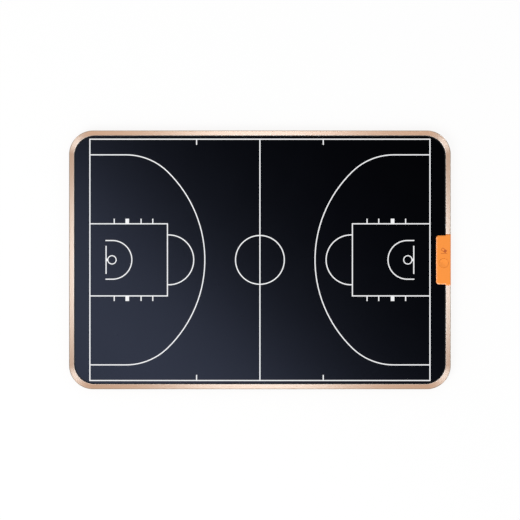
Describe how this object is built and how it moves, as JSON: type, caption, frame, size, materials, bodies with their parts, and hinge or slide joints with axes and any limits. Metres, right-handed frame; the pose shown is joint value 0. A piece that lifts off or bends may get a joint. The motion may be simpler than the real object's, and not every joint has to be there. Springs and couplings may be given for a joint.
{
  "type": "tactics board",
  "caption": "Flat writing board with a printed basketball court, a rounded metal frame and an orange module with an erase button at one end.",
  "frame": {"origin": "on the surface that the board lies on, under the middle of the board", "axes": "+X along the board towards the control module, +Y across it, +Z out of the writing face"},
  "size_m": [0.45, 0.305, 0.0113],
  "materials": {
    "rose_gold_aluminium": "brushed and anodised",
    "black_foam_rubber": "matt",
    "white_ink": "screen printed",
    "dark_film": "gloss hard coat",
    "black_foam_tape": "matt",
    "galvanised_steel": "galvanised",
    "honeycomb_board": "raw",
    "black_sheet": "fine texture",
    "orange_abs": "satin moulded",
    "black_resin": "moulded",
    "green_laminate": "solder mask",
    "ferrite": "sintered",
    "ceramic_chip": "sintered",
    "ivory_resin": "moulded",
    "amber_film": "smooth",
    "dark_grey_abs": "moulded",
    "pressed_steel": "tin plated",
    "nickel_steel": "nickel plated",
    "spring_brass": "plain",
    "zinc_steel": "zinc plated",
    "black_rubber": "moulded"
  },
  "bodies": {
    "board": {"frame_channel": "rose_gold_aluminium", "edge_gasket": "black_foam_rubber", "writing_film": "dark_film", "film_tape": "black_foam_tape", "steel_sheet": "galvanised_steel", "core_board": "honeycomb_board", "rear_cover": "black_sheet", "module_cover": "orange_abs", "module_base": "orange_abs", "switch_body": "black_resin", "circuit_board": "green_laminate", "control_chip": "black_resin", "boost_coil": "ferrite", "capacitors": "ceramic_chip", "film_connector": "ivory_resin", "film_tail": "amber_film", "lock_switch": "pressed_steel", "contact_positive": "spring_brass", "contact_negative": "spring_brass", "frame_screws": "zinc_steel", "base_screws": "zinc_steel", "circuit_screws": "zinc_steel", "foot_1": "black_rubber", "foot_2": "black_rubber", "foot_3": "black_rubber", "foot_4": "black_rubber", "court_outline": "white_ink", "court_key_left": "white_ink", "court_key_right": "white_ink"},
    "erase_button": {"erase_button": "orange_abs", "switch_plunger": "black_resin"},
    "lock_slider": {"lock_slider": "dark_grey_abs", "lock_lever": "black_resin"},
    "battery_tray": {"battery_tray": "orange_abs", "coin_cell": "nickel_steel"}
  },
  "joints": [
    {"name": "erase_press", "type": "slide", "parent": "board", "child": "erase_button", "axis": [0, 0, -1], "range_m": [0, 0.0003], "stiffness_N_per_m": 2000},
    {"name": "lock_slide", "type": "slide", "parent": "board", "child": "lock_slider", "axis": [0, -1, 0], "range_m": [0, 0.002]},
    {"name": "tray_pull", "type": "slide", "parent": "board", "child": "battery_tray", "axis": [1, 0, 0], "range_m": [0, 0.016]}
  ]
}
